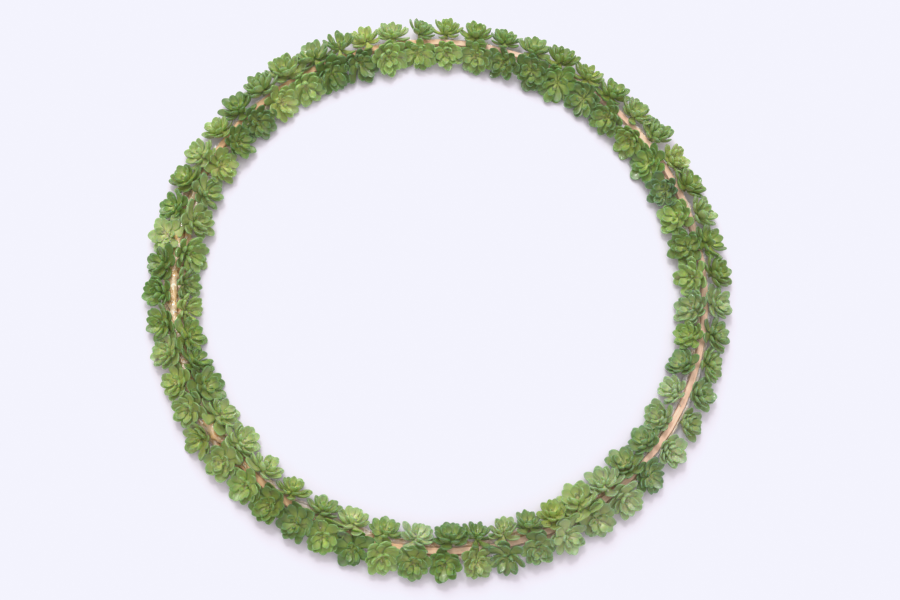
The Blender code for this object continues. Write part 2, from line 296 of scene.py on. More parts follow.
# Glue over the top edge of the hoop. Half and crown are the least and most of its half width and its
# height.
SPILL_STEPS = 170
SPILL_AROUND = 12
SPILL_HALF = (0.0012, 0.0048)
SPILL_CROWN = (0.0003, 0.0022)
SPILL_SHIFT = 0.0016
SPILL_SINK = 0.0004
SPILL_SWELLS = 60.0
SPILL_SWELL_SHIFT = 3.0
SPILL_SHIFTS = 50.0
SPILL_RIPPLES = 160.0
SPILL_ROUGH = 0.35
SPILL_TAPER = 0.05
LUMP_SWELL = 0.9
LUMP_SHIFT = 0.0014
LUMP_CROWN = 0.0010

# Strings of glue. Start and end are distances off the hoop's middle line, lifts are above its top edge.
STRINGS = 60
STRING_STEPS = 9
STRING_AROUND = 5
STRING_RADII = (0.00012, 0.00026)
STRING_STARTS = (0.0, 0.0015)
STRING_LIFTS = (0.0, 0.0006)
STRING_TURN = 2.2
STRING_ENDS = (0.003, 0.0065)
STRING_END_HEIGHTS = (0.0072, 0.0125)
STRING_SAGS = (-0.0010, 0.0012)
STRING_FLARE = 1.6

# Leaf colours for each tone: body, heart of the rosette, and the darker colour of the painted shade on
# the margins and the underside of a leaf. That colour also darkens the tip, there partly as the leaf's own
# colour and partly as painted shade. A head's colours are multiplied by its tint: plain, yellower, bluer,
# warmer, cooler or pinker.
LEAF_COLOURS = {
    "L": {"body": (0.445, 0.533, 0.186), "heart": (0.564, 0.650, 0.253), "margin_shade": (0.233, 0.363, 0.164)},
    "l": {"body": (0.372, 0.460, 0.140), "heart": (0.510, 0.600, 0.196), "margin_shade": (0.182, 0.301, 0.129)},
    "m": {"body": (0.310, 0.405, 0.110), "heart": (0.445, 0.546, 0.164), "margin_shade": (0.137, 0.255, 0.107)},
    "k": {"body": (0.259, 0.360, 0.087), "heart": (0.389, 0.493, 0.127), "margin_shade": (0.107, 0.218, 0.087)},
    "D": {"body": (0.212, 0.312, 0.076), "heart": (0.326, 0.435, 0.111), "margin_shade": (0.083, 0.181, 0.078)},
}
TINT_COLOURS = {
    ".": (1.00, 1.00, 1.00),
    "y": (1.00, 1.00, 0.80),
    "b": (1.00, 1.00, 1.30),
    "w": (1.05, 1.00, 0.80),
    "c": (0.92, 1.00, 0.84),
    "p": (1.06, 1.00, 1.22),
}
SLOT_OF_TONE = {"L": "leaf_light", "l": "leaf_light", "m": "leaf_mid", "k": "leaf_mid", "D": "leaf_dark"}

# Leaf finish. A band is where a mask starts and where it is full, and a share is how much of it shows.
HEART_BAND = (0.85, 0.08)
HEART_OF_TIER = 0.06
# Painted shade: the margins of a leaf are darkened.
MARGIN_SHADE_BAND = (0.40, 0.95)
MARGIN_SHADE_SHARE = 0.88
# Painted shade: the underside of a leaf is darkened.
UNDERSIDE_SHADE_BAND = (0.48, 0.12)
UNDERSIDE_SHADE_SHARE = 0.25
# The tip of a leaf is darkened, partly as the leaf's own colour and partly as painted shade.
TIP_TONE_AND_SHADE_BAND = (0.45, 1.0)
TIP_TONE_AND_SHADE_SHARE = 0.55
MOTTLE_SCALE = 260.0
MOTTLE_BAND = (0.30, 0.70)
MOTTLE_LIGHT = 0.08
MOTTLE_GLOSS = 0.12
GRIT_SCALE = 1800.0
GRIT_HEIGHT = 0.3
DARKEST_LEAF = 0.83
SHADE_RANGE = 0.22
LEAF_GLOSS = 0.26
LEAF_RELIEF = 0.00004

# Wood, with its grain stretched along the ring. The band of the glue's film is along X, in metres.
WOOD_COLOURS = {
    "dark": (0.90, 0.55, 0.38),
    "light": (0.97, 0.71, 0.52),
    "fleck": (0.74, 0.42, 0.22),
    "film": (0.96, 0.88, 0.62),
}
GRAIN_STRETCH = (3.0, 900.0, 700.0)
GRAIN_SCALE = 1.6
GRAIN_BAND = (0.32, 0.68)
GRAIN_RELIEF = 0.00012
FLECK_SCALE = 420.0
FLECK_BAND = (0.52, 0.75)
FLECK_SHARE = 0.45
GLUE_FILM_BAND = (0.045, -0.06)

# Glue colours, from pale to amber, in soft clouds
GLUE_COLOURS = {
    "pale": (1.00, 0.95, 1.00),
    "shaded": (0.96, 0.78, 0.58),
    "golden": (1.00, 0.69, 0.40),
    "amber": (0.88, 0.54, 0.22),
}
CLOUD_SCALE = 80.0
CLOUD_BAND = (0.44, 0.56)
RIPPLE_SCALE = 380.0
RIPPLE_RELIEF = 0.0009


def radial(angle):
    """Unit vector from the middle of the wreath towards a clock angle."""
    turn = math.radians(angle)
    return Vector((math.sin(turn), math.cos(turn), 0.0))


def clockwise(angle):
    return radial(angle + 90.0)


def upwards(height):
    return Vector((0.0, 0.0, height))


def ramp(value, low, high):
    """Smooth step from 0 at low to 1 at high."""
    share = min(max((value - low) / (high - low), 0.0), 1.0)
    return share * share * (3.0 - 2.0 * share)


def by_the_clock(hours, angle):
    """Value between two of the twelve hours, for a place on the clock."""
    hour, part = divmod(angle % 360.0 / 30.0, 1.0)
    before = hours[int(hour)]
    return before + (hours[(int(hour) + 1) % 12] - before) * part


def own_draw(factor, row, index):
    """Random draws that belong to one head alone, from the seed and the draw's own factor of it."""
    return random.Random(SEED * factor + index * 2 + (row == "inner"))


# Objects and meshes


def add_object(name, data):
    """New object in the scene, with the given mesh, light or camera."""
    made = bpy.data.objects.new(name, data)
    bpy.context.scene.collection.objects.link(made)
    return made


def add_piece(name, mesh, material, slot, *nodes):
    """New piece of the wreath, and the CAD nodes that it stands for."""
    piece = add_object(name, mesh)
    mesh.materials.append(material)
    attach(piece, "root")
    if nodes:
        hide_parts(*nodes)


def store_values(mesh, label, values):
    """One value for each point, for the material to read."""
    layer = mesh.attributes.new(label, "FLOAT", "POINT")
    layer.data.foreach_set("value", values)


def smooth_faces(mesh):
    mesh.polygons.foreach_set("use_smooth", [True] * len(mesh.polygons))


# Materials


def new_group(name, inputs, outputs):
    """An empty shader node group with named sockets. Returns the group and its input and output nodes."""
    group = bpy.data.node_groups.new(name, "ShaderNodeTree")
    for label, kind, value in inputs:
        socket = group.interface.new_socket(label, in_out="INPUT", socket_type=kind)
        socket.default_value = value
    for label, kind in outputs:
        group.interface.new_socket(label, in_out="OUTPUT", socket_type=kind)
    return group, group.nodes.new("NodeGroupInput"), group.nodes.new("NodeGroupOutput")


def place_group(material, group, values):
    """Puts a node group in a material and sets its inputs."""
    node = material.node_tree.nodes.new("ShaderNodeGroup")
    node.node_tree = group
    for label, value in values.items():
        node.inputs[label].default_value = value
    return node


def surface_value(group, name):
    """A value stored on the piece's own points."""
    node = group.nodes.new("ShaderNodeAttribute")
    node.attribute_name = name
    return node.outputs["Fac"]


def band(group, value, low, high):
    """Mask that rises from 0 at low to 1 at high."""
    node = group.nodes.new("ShaderNodeMapRange")
    node.interpolation_type = "SMOOTHSTEP"
    node.inputs["From Min"].default_value = low
    node.inputs["From Max"].default_value = high
    group.links.new(value, node.inputs["Value"])
    return node.outputs["Result"]


def feed(group, slot, operand):
    """Sets a socket to a number or a colour, or links another socket to it."""
    if isinstance(operand, (int, float)):
        slot.default_value = operand
    elif isinstance(operand, tuple):
        slot.default_value = (*operand, 1.0)
    else:
        group.links.new(operand, slot)


def calculate(group, kind, first, second):
    """Math node. Each operand is a socket or a number."""
    node = group.nodes.new("ShaderNodeMath")
    node.operation = kind
    feed(group, node.inputs[0], first)
    feed(group, node.inputs[1], second)
    return node.outputs["Value"]


def blend_colours(group, share, first, second, kind="MIX"):
    """Mix of two colours. Each is a socket or a colour, and the share is a socket or a number."""
    node = group.nodes.new("ShaderNodeMix")
    node.data_type = "RGBA"
    node.blend_type = kind
    feed(group, node.inputs["Factor"], share)
    feed(group, node.inputs["A"], first)
    feed(group, node.inputs["B"], second)
    return node.outputs["Result"]


def speckle(group, scale, detail):
    """Noise over the surface, from the object's own coordinates."""
    place = group.nodes.new("ShaderNodeTexCoord")
    node = group.nodes.new("ShaderNodeTexNoise")
    node.inputs["Scale"].default_value = scale
    node.inputs["Detail"].default_value = detail
    group.links.new(place.outputs["Object"], node.inputs["Vector"])
    return node.outputs["Fac"]


def leaf_finish_group():
    """Colour, roughness and relief of a fleshy leaf, with painted shade on its margins and underside."""
    colour = "NodeSocketColor"
    number = "NodeSocketFloat"
    white = (1.0, 1.0, 1.0, 1.0)
    group, given, made = new_group(
        "leaf_finish",
        (("Body", colour, white), ("Heart", colour, white), ("Margin_shade", colour, white)),
        (("Colour", colour), ("Roughness", number), ("Relief", number)),
    )
    along = surface_value(group, "leaf_along")
    edge = surface_value(group, "leaf_edge")
    upper = surface_value(group, "leaf_upper")
    shade = surface_value(group, "leaf_shade")
    tier = surface_value(group, "leaf_tier")
    mottle = speckle(group, MOTTLE_SCALE, detail=3.0)
    grit = speckle(group, GRIT_SCALE, detail=2.0)

    inner = calculate(group, "MULTIPLY", tier, HEART_OF_TIER)
    heart = calculate(group, "ADD", band(group, along, *HEART_BAND), inner)
    base = blend_colours(group, heart, given.outputs["Body"], given.outputs["Heart"])
    # Painted shade on the margins of the leaf
    margin_shade = calculate(group, "MULTIPLY", band(group, edge, *MARGIN_SHADE_BAND), MARGIN_SHADE_SHARE)
    # Painted shade on the underside of the leaf
    back = calculate(group, "MULTIPLY", band(group, upper, *UNDERSIDE_SHADE_BAND), UNDERSIDE_SHADE_SHARE)
    # A darker tip, partly the leaf's own colour and partly painted shade
    tip = calculate(group, "MULTIPLY", band(group, along, *TIP_TONE_AND_SHADE_BAND), TIP_TONE_AND_SHADE_SHARE)
    dark = calculate(group, "MAXIMUM", calculate(group, "MAXIMUM", margin_shade, back), tip)
    tinted = blend_colours(group, dark, base, given.outputs["Margin_shade"])

    light = calculate(group, "ADD", calculate(group, "MULTIPLY", shade, SHADE_RANGE), DARKEST_LEAF)
    patch = calculate(group, "MULTIPLY", band(group, mottle, *MOTTLE_BAND), MOTTLE_LIGHT)
    light = calculate(group, "ADD", light, patch)
    grey = group.nodes.new("ShaderNodeCombineColor")
    for channel in grey.inputs:
        group.links.new(light, channel)
    shaded = blend_colours(group, 1.0, tinted, grey.outputs["Color"], "MULTIPLY")
    group.links.new(shaded, made.inputs["Colour"])

    gloss = calculate(group, "ADD", calculate(group, "MULTIPLY", mottle, MOTTLE_GLOSS), LEAF_GLOSS)
    group.links.new(gloss, made.inputs["Roughness"])
    relief = calculate(group, "ADD", calculate(group, "MULTIPLY", grit, GRIT_HEIGHT), mottle)
    group.links.new(relief, made.inputs["Relief"])
    return group


def new_material(name):
    material = bpy.data.materials.new(name)
    material.use_nodes = True
    return material, material.node_tree.nodes["Principled BSDF"]


def add_relief(material, shader, height, depth):
    """Bump of the given depth in metres."""
    bump = material.node_tree.nodes.new("ShaderNodeBump")
    bump.inputs["Strength"].default_value = 1.0
    bump.inputs["Distance"].default_value = depth
    material.node_tree.links.new(height, bump.inputs["Height"])
    material.node_tree.links.new(bump.outputs["Normal"], shader.inputs["Normal"])


def leaf_material(name, colours, finish):
    """Waxy moulded leaf: satin, a little light passing through."""
    material, shader = new_material(name)
    sockets = {part.capitalize(): (*colour, 1.0) for part, colour in colours.items()}
    skin = place_group(material, finish, sockets)
    links = material.node_tree.links
    links.new(skin.outputs["Colour"], shader.inputs["Base Color"])
    links.new(skin.outputs["Roughness"], shader.inputs["Roughness"])
    shader.inputs["Specular IOR Level"].default_value = 0.45
    shader.inputs["Coat Weight"].default_value = 0.22
    shader.inputs["Coat Roughness"].default_value = 0.08
    shader.inputs["Subsurface Weight"].default_value = 0.70
    shader.inputs["Subsurface Radius"].default_value = (0.60, 1.0, 0.20)
    shader.inputs["Subsurface Scale"].default_value = 0.0028
    add_relief(material, shader, skin.outputs["Relief"], LEAF_RELIEF)
    return material


def leaf_materials(finish):
    """One leaf material for each tone and tint that a head has."""
    made = {}
    for row in TONES:
        for tone, tint in zip(TONES[row], TINTS[row]):
            if tone + tint in made:
                continue
            factors = TINT_COLOURS[tint]
            colours = {
                part: tuple(channel * factor for channel, factor in zip(colour, factors))
                for part, colour in LEAF_COLOURS[tone].items()
            }
            made[tone + tint] = leaf_material(f"leaf_finish_{len(made) + 1:02d}", colours, finish)
    return made


def wood_material():
    """Pale beech strip with grain along the ring, and a thin amber film of glue over its left side."""
    material, shader = new_material("hoop_beech")
    tree = material.node_tree
    place = tree.nodes.new("ShaderNodeTexCoord")
    split = tree.nodes.new("ShaderNodeSeparateXYZ")
    tree.links.new(place.outputs["Object"], split.inputs["Vector"])
    turn = calculate(tree, "ARCTAN2", split.outputs["X"], split.outputs["Y"])
    reach = tree.nodes.new("ShaderNodeVectorMath")
    reach.operation = "LENGTH"
    tree.links.new(place.outputs["Object"], reach.inputs[0])
    strip = tree.nodes.new("ShaderNodeCombineXYZ")
    lengths = (turn, reach.outputs["Value"], split.outputs["Z"])
    for slot, length, stretch in zip(strip.inputs, lengths, GRAIN_STRETCH):
        tree.links.new(calculate(tree, "MULTIPLY", length, stretch), slot)
    grain = tree.nodes.new("ShaderNodeTexNoise")
    grain.inputs["Scale"].default_value = GRAIN_SCALE
    grain.inputs["Detail"].default_value = 5.0
    tree.links.new(strip.outputs["Vector"], grain.inputs["Vector"])

    streak = band(tree, grain.outputs["Fac"], *GRAIN_BAND)
    fleck = band(tree, speckle(tree, FLECK_SCALE, detail=4.0), *FLECK_BAND)
    fleck = calculate(tree, "MULTIPLY", fleck, FLECK_SHARE)
    film = band(tree, split.outputs["X"], *GLUE_FILM_BAND)
    colour = blend_colours(tree, streak, WOOD_COLOURS["dark"], WOOD_COLOURS["light"])
    colour = blend_colours(tree, fleck, colour, WOOD_COLOURS["fleck"])
    filmed = blend_colours(tree, 1.0, colour, WOOD_COLOURS["film"], "MULTIPLY")
    tree.links.new(blend_colours(tree, film, colour, filmed), shader.inputs["Base Color"])
    shader.inputs["Roughness"].default_value = 0.55
    add_relief(material, shader, grain.outputs["Fac"], GRAIN_RELIEF)
    return material


def glue_material():
    """Set hot glue: clear and lavender, amber where it ran over, rippled and very shiny."""
    material, shader = new_material("hot_glue")
    tree = material.node_tree
    cloud = band(tree, speckle(tree, CLOUD_SCALE, detail=2.0), *CLOUD_BAND)
    pale = blend_colours(tree, cloud, GLUE_COLOURS["pale"], GLUE_COLOURS["shaded"])
    amber = blend_colours(tree, cloud, GLUE_COLOURS["golden"], GLUE_COLOURS["amber"])
    colour = blend_colours(tree, surface_value(tree, "glue_warmth"), pale, amber)
    tree.links.new(colour, shader.inputs["Base Color"])
    shader.inputs["Roughness"].default_value = 0.07
    shader.inputs["IOR"].default_value = 1.6
    shader.inputs["Specular IOR Level"].default_value = 1.0
    shader.inputs["Subsurface Weight"].default_value = 0.6
    shader.inputs["Subsurface Radius"].default_value = (1.0, 0.95, 1.0)
    shader.inputs["Subsurface Scale"].default_value = 0.003
    shader.inputs["Transmission Weight"].default_value = 0.15
    add_relief(material, shader, speckle(tree, RIPPLE_SCALE, detail=3.0), RIPPLE_RELIEF)
    return material


def floor_material():
    material, shader = new_material("pale_floor")
    shader.inputs["Base Color"].default_value = (*FLOOR_COLOUR, 1.0)
    shader.inputs["Roughness"].default_value = 0.9
    shader.inputs["Specular IOR Level"].default_value = 0.2
    return material


# Leaves, cores and stems


def new_skin():
    """Lists of points and faces, with the values that the leaf's finish reads."""
    labels = ("points", "faces", "leaf_along", "leaf_edge", "leaf_upper", "leaf_shade", "leaf_tier")
    return {label: [] for label in labels}


def add_point(skin, place, look):
    """One point with its look: how far along and towards the edge it is, its face, shade and tier."""
    skin["points"].append(place)
    for label, value in look.items():
        skin["leaf_" + label].append(value)
    return len(skin["points"]) - 1


def add_circle(skin, middle, radius, side, other, around, look):
    """Ring of points round a middle, in the plane of two unit vectors."""
    ring = []
    for j in range(around):
        turn = math.tau * j / around
        place = middle + (side * math.cos(turn) + other * math.sin(turn)) * radius
        ring.append(add_point(skin, place, look))
    return ring


def close_rings(skin, rings, first_pole, last_pole):
    """Quads between rings of points and a fan to a pole at each end."""
    count = len(rings[0])
    for lower, upper in zip(rings, rings[1:]):
        for j in range(count):
            k = (j + 1) % count
            skin["faces"].append((lower[j], lower[k], upper[k], upper[j]))
    for j in range(count):
        k = (j + 1) % count
        skin["faces"].append((first_pole, rings[0][k], rings[0][j]))
        skin["faces"].append((last_pole, rings[-1][j], rings[-1][k]))


def blade_width(share, widest, neck, pointed):
    """Half outline of a spoon leaf, 1 at its widest: a neck that opens out, then a rounded end."""
    if share < widest:
        return neck + (1.0 - neck) * ramp(share, -NECK_FLARE * widest, widest)
    past = (share - widest) / (1.0 - widest)
    fullness = END_FULLNESS + POINTED_FULLNESS * pointed
    return max(1.0 - past ** (END_ROUNDNESS - pointed), 0.0) ** fullness


def add_leaf(skin, shape, azimuth, rise, scale, width, pointed, roll, sway, shade, tier):
    """One closed fleshy leaf, from its root in the core to its tip."""
    lift = math.radians(rise)
    out = Vector((math.cos(azimuth), math.sin(azimuth), 0.0))
    across = Vector((-math.sin(azimuth), math.cos(azimuth), 0.0))
    ahead = out * math.cos(lift) + upwards(math.sin(lift))
    above = ahead.cross(across)
    across, above = (
        across * math.cos(roll) + above * math.sin(roll),
        above * math.cos(roll) - across * math.sin(roll),
    )
    root = out * shape["start"][0] + upwards(shape["start"][1])
    length = shape["length"] * scale
    half = shape["width"] * width * scale / 2

    def middle(share):
        rise_here = shape["hook"] * share ** HOOK_POWER - shape["bow"] * math.sin(math.pi * min(share, 1.0))
        return root + ahead * length * share + above * rise_here + across * sway * length * share * share

    widest = max(1.0 - half / length * (1.0 + pointed), LEAST_WIDEST)
    stations = [widest * share for share in NECK_STATIONS]
    stations += [widest + (1.0 - widest) * share for share in TIP_STATIONS]
    rings = []
    for share in stations:
        here = middle(share)
        behind = share - SMALL_STEP if share > SMALL_STEP else share
        forward = (middle(share + SMALL_STEP) - middle(behind)).normalized()
        up = forward.cross(across).normalized()
        wide = half * blade_width(share, widest, shape["neck"], pointed)
        bowl = shape["cup"] * ramp(share, *BOWL_BAND) - NECK_CROWN * (1.0 - ramp(share, *NECK_BAND))
        thick = shape["thickness"] / 2 * math.sqrt(max(1.0 - ramp(share, widest, THIN_END), THINNEST))
        ring = []
        for j in range(LEAF_AROUND):
            turn = math.tau * j / LEAF_AROUND
            side = math.cos(turn)
            face = math.sin(turn)
            swell = UPPER_SWELL if face > 0 else LOWER_SWELL
            height = thick * face * swell + bowl * wide * side * side
            place = here + across * wide * side + up * height
            # The edge and upper values place the painted shade on the margins and the underside.
            edge = max(side ** 2, ramp(share, *TIP_EDGE_BAND))
            look = {"along": share, "edge": edge, "upper": 0.5 + 0.5 * face, "shade": shade, "tier": tier}
            ring.append(add_point(skin, place, look))
        rings.append(ring)
    root_look = {"along": 0.0, "edge": 0.0, "upper": 0.5, "shade": shade, "tier": tier}
    tip_look = {"along": 1.0, "edge": 1.0, "upper": 0.5, "shade": shade, "tier": tier}
    start = add_point(skin, middle(0.0) - ahead * ROOT_SINK, root_look)
    end = add_point(skin, middle(1.0), tip_look)
    close_rings(skin, rings, start, end)


def add_core(skin):
    """Rounded body that the leaves grow from."""
    east = Vector((1.0, 0.0, 0.0))
    north = Vector((0.0, 1.0, 0.0))
    rings = [
        add_circle(skin, upwards(height), radius, east, north, CORE_AROUND, CORE_LOOK)
        for radius, height in CORE_RINGS[1:-1]
    ]
    poles = [add_point(skin, upwards(ring[1]), CORE_LOOK) for ring in (CORE_RINGS[0], CORE_RINGS[-1])]
    close_rings(skin, rings, *poles)


def add_stem(skin, end):
    """Short stub from the core back into the glue."""
    start = Vector((0.0, 0.0, 0.0))
    along = (end - start).normalized()
    side = along.orthogonal().normalized()
    other = along.cross(side)
    rings = []
    for i, radius in enumerate(STEM_RADII):
        middle = start.lerp(end, i / (len(STEM_RADII) - 1))
        rings.append(add_circle(skin, middle, radius, side, other, STEM_AROUND, STEM_LOOK))
    poles = [add_point(skin, place, STEM_LOOK) for place in (start, end + along * STEM_PAST_END)]
    close_rings(skin, rings, *poles)


def mesh_from_skin(name, skin):
    mesh = bpy.data.meshes.new(name)
    mesh.from_pydata(skin["points"], [], skin["faces"])
    for label, values in skin.items():
        if label.startswith("leaf_"):
            store_values(mesh, label, values)
    smooth_faces(mesh)
    mesh.validate()
    return mesh


# Heads


def head_angles(row):
    """Angle of each head: even spacing, moved on by the row's drift between the hours of the clock."""
    count = len(TONES[row])
    evenly = [360.0 * i / count for i in range(count)]
    return [angle + by_the_clock(ROWS[row]["drift"], angle) for angle in evenly]


def held_back(value, limit):
    """Value, eased so that it never passes limit."""
    bend = limit - EASE
    if value <= bend:
        return value
    return limit - EASE * math.exp((bend - value) / EASE)


def keep_clear(place, row, angle, before, after):
    """Bends a point clear of the floor, of the other row and of the heads on both sides."""
    side = ROWS[row]["side"]
    distance = math.hypot(place.x, place.y)
    turn = (math.degrees(math.atan2(place.x, place.y)) - angle + 180.0) % 360.0 - 180.0
    along = math.radians(turn) * distance
    along = held_back(along, math.radians(after - angle) * distance + NEIGHBOUR_OVERLAP)
    along = -held_back(-along, math.radians(angle - before) * distance + NEIGHBOUR_OVERLAP)
    off = -held_back(-side * (distance - HOOP_RADIUS), ROW_OVERLAP)
    height = -held_back(-place.z, -LOWEST_TIP)
    if height > HOOP_HEIGHT:
        distance = HOOP_RADIUS + side * off
    moved = radial(angle + math.degrees(along / distance)) * distance
    return Vector((moved.x, moved.y, height))


def seat_head(row, angle, kind, fit, pull, draw, habit):
    """Size, lean and place of a head, as the matrix from its own axes."""
    side = ROWS[row]["side"]
    size = draw.uniform(*SIZE_RANGE) * fit * by_the_clock(ROWS[row]["growth"], angle)
    lean = math.radians(by_the_clock(ROWS[row]["lean"], angle) + draw.uniform(-LEAN_RANGE, LEAN_RANGE))
    lean += math.radians(kind["lean"] + habit.uniform(-EXTRA_LEAN, EXTRA_LEAN))
    tilt = math.radians(kind["tilt"] + habit.uniform(-SIDE_TILT, SIDE_TILT))
    along = clockwise(angle)
    axis = radial(angle) * side * math.sin(lean) + upwards(math.cos(lean))
    axis, along = (
        axis * math.cos(tilt) + along * math.sin(tilt),
        along * math.cos(tilt) - axis * math.sin(tilt),
    )
    off = ROWS[row]["offset"] + kind["away"]
    place = radial(angle) * (HOOP_RADIUS + side * off) + upwards(HEAD_HEIGHT)
    place += clockwise(angle) * pull
    turned = Matrix((along, axis.cross(along), axis)).transposed().to_4x4()
    return Matrix.Translation(place) @ turned @ Matrix.Scale(size, 4)


def stem_end(row, index, angle, seat):
    """End of the stem, inside its bead of glue, in the head's own axes."""
    radius = own_draw(BEAD_DRAW, row, index).uniform(*BEAD_RADII)
    off = BEAD_STAND_OFF + radius
    bead = radial(angle) * (HOOP_RADIUS + ROWS[row]["side"] * off) + upwards(BEAD_HEIGHT)
    towards_head = (seat.to_translation() - bead).normalized()
    return seat.inverted() @ (bead + towards_head * radius * STEM_IN_BEAD)


def grow_head(row, index, angle, fit, pull):
    """Leaves, core and stem of one head in its own axes, and the seat that puts it in its place."""
    side = ROWS[row]["side"]
    kind = {**USUAL_HABIT, **HABIT_CHANGES[HABITS[row][index]]}
    draw = own_draw(POSE_DRAW, row, index)
    habit = own_draw(HABIT_DRAW, row, index)
    seat = seat_head(row, angle, kind, fit, pull, draw, habit)

    upright = by_the_clock(ROWS[row]["upright"], angle)
    droop = by_the_clock(ROWS[row]["droop"], angle)
    hoopward = by_the_clock(ROWS[row]["hoopward"], angle) + kind["hoopward"]
    hoopward = (hoopward + draw.uniform(-HOOPWARD_RANGE, HOOPWARD_RANGE)) / 100.0
    turn = habit.uniform(-TURN_RANGE, TURN_RANGE)
    open_out = kind["rise"] + habit.uniform(-RISE_RANGE, RISE_RANGE)
    width = by_the_clock(ROWS[row]["width"], angle) / 100.0 * kind["width"] * habit.uniform(*WIDTH_RANGE)
    pointed = habit.uniform(*POINTED_RANGE)
    skin = new_skin()
    for level, shape in enumerate(TIERS):
        step = 360.0 / shape["count"]
        for i in range(shape["count"]):
            stray = habit.uniform(-shape["loose"], shape["loose"])
            azimuth = math.radians(turn + step * (i + shape["turn"]) + stray)
            rise = shape["rise"] + open_out + habit.uniform(-shape["lively"], shape["lively"])
            facing = max(-side * math.sin(azimuth), 0.0)
            rise += upright * shape["upright"] - (droop * facing if level == 0 else 0.0)
            spread = hoopward * facing if level < LONG_LEAF_TIERS else 0.0
            reach = kind["length"] * (1.0 + spread)
            broadening = width * (1.0 + LONG_LEAF_BREADTH * spread) / reach
            add_leaf(
                skin, shape, azimuth, rise,
                scale=reach * habit.uniform(*LEAF_RANGE),
                width=broadening * habit.uniform(*LEAF_WIDTH_RANGE),
                pointed=pointed,
                roll=math.radians(habit.uniform(-LEAF_ROLL, LEAF_ROLL)),
                sway=math.radians(habit.uniform(-LEAF_SWAY, LEAF_SWAY)),
                shade=habit.random(),
                tier=level / (len(TIERS) - 1),
            )
    add_core(skin)
    add_stem(skin, stem_end(row, index, angle, seat))
    return skin, seat


def build_row(row, materials):
    """Every head of one row, each standing for its part of a CAD pair."""
    side = ROWS[row]["side"]
    angles = head_angles(row)
    count = len(angles)
    stands = []
    for first in range(0, count, 2):
        room = math.radians(angles[first + 1] - angles[first]) * (HOOP_RADIUS + side * PAIR_OFFSET)
        fit = min(room / USUAL_ROOM, LARGEST_FIT)
        pull = (room - PAIR_SPACING * fit) / 2
        stands.append((fit, pull))
        stands.append((fit, -pull))
    for i, angle in enumerate(angles):
        before = (angles[i - 1] - (360.0 if i == 0 else 0.0) + angle) / 2
        after = (angles[(i + 1) % count] + (360.0 if i == count - 1 else 0.0) + angle) / 2
        skin, seat = grow_head(row, i, angle, *stands[i])
        skin["points"] = [keep_clear(seat @ place, row, angle, before, after) for place in skin["points"]]
        name = f"head_{row}_{i + 1:02d}"
        tone = TONES[row][i]
        material = materials[tone + TINTS[row][i]]
        pair = f"rosettes_{row}_{i // 2 + 1:02d}"
        add_piece(name, mesh_from_skin(name, skin), material, SLOT_OF_TONE[tone], pair)


# Glue


def skin_between(bm, pairs):
    """Quads between the two rings of vertices of each pair."""
    for first, second in pairs:
        for j in range(len(first)):
            k = (j + 1) % len(first)
            bm.faces.new((first[j], first[k], second[k], second[j]))


def loft_ring(name, sections, closed, warmth):
    """Skin over sections of points, closed round the ring or with an end face at each end.

    Warmth is how amber the glue is at each section.
    """
    bm = bmesh.new()
    rings = [[bm.verts.new(place) for place in section] for section in sections]
    pairs = list(zip(rings, rings[1:]))
    if closed:
        pairs.append((rings[-1], rings[0]))
    skin_between(bm, pairs)
    if not closed:
        bm.faces.new(rings[0][::-1])
        bm.faces.new(rings[-1])
    bmesh.ops.recalc_face_normals(bm, faces=bm.faces)
    mesh = bpy.data.meshes.new(name)
    bm.to_mesh(mesh)
    bm.free()
    store_values(mesh, "glue_warmth", [value for value, section in zip(warmth, sections) for _ in section])
    smooth_faces(mesh)
    return mesh


def between_heads(angles, angle):
    """1 midway between two heads, 0 behind a head."""
    near = min(abs((angle - other + 180.0) % 360.0 - 180.0) for other in angles)
    return ramp(near, 0.0, 180.0 / len(angles))


def within(arc, edge, angle):
    """1 well inside an arc of the clock, 0 outside it, with soft ends."""
    return ramp(angle, arc[0] - edge, arc[0] + edge) * (1.0 - ramp(angle, arc[1] - edge, arc[1] + edge))


def build_glue_bead(row, material):
    """Lumpy glue along one side face of the hoop, squeezed up between the heads."""
    side = ROWS[row]["side"]
    angles = head_angles(row)
    sections = []
    warmth = []
    for i in range(GLUE_STEPS):
        angle = 360.0 * i / GLUE_STEPS
        out = radial(angle)
        probe = out * GLUE_SWELLS + upwards(side * GLUE_SWELL_GAP)
        swell = noise.noise(probe)
        slump = noise.noise(probe * GLUE_SLUMPS + Vector((GLUE_SLUMP_SHIFT, 0.0, 0.0)))
        amber = within(SPILL_ARC, SPILL_EDGE, angle)
        clear = 0.0 if side > 0 else within(CLEAR_DROP, CLEAR_EDGE, angle)
        beige = 0.0 if side > 0 else within(BEIGE_ARC, BEIGE_EDGE, angle) - clear
        half = GLUE_HALF + GLUE_HALF_SWELL * swell + GLUE_SQUEEZE * between_heads(angles, angle)
        half += EXTRA_GLUE * (amber + beige + clear)
        tall = GLUE_TALL + GLUE_SLUMP * slump + EXTRA_GLUE * (amber + clear)
        middle = HOOP_RADIUS + side * (HOOP_THICKNESS / 2 + half - GLUE_GRIP)
        section = []
        for j in range(GLUE_AROUND):
            turn = math.tau * j / GLUE_AROUND
            round_and_side = upwards(turn * GLUE_RIPPLE_TURN + side * GLUE_RIPPLE_GAP)
            rough = 1.0 + GLUE_ROUGH * noise.noise(out * GLUE_RIPPLES + round_and_side)
            place = out * (middle + half * rough * math.cos(turn))
            section.append(place + upwards(GLUE_HEIGHT + tall * rough * math.sin(turn)))
        sections.append(section)
        warmth.append(AMBER_WARMTH * amber + BEIGE_WARMTH * beige)
    name = f"glue_{row}_side"
    mesh = loft_ring(name, sections, closed=True, warmth=warmth)
    add_piece(name, mesh, material, "glue", f"glue_{row}")


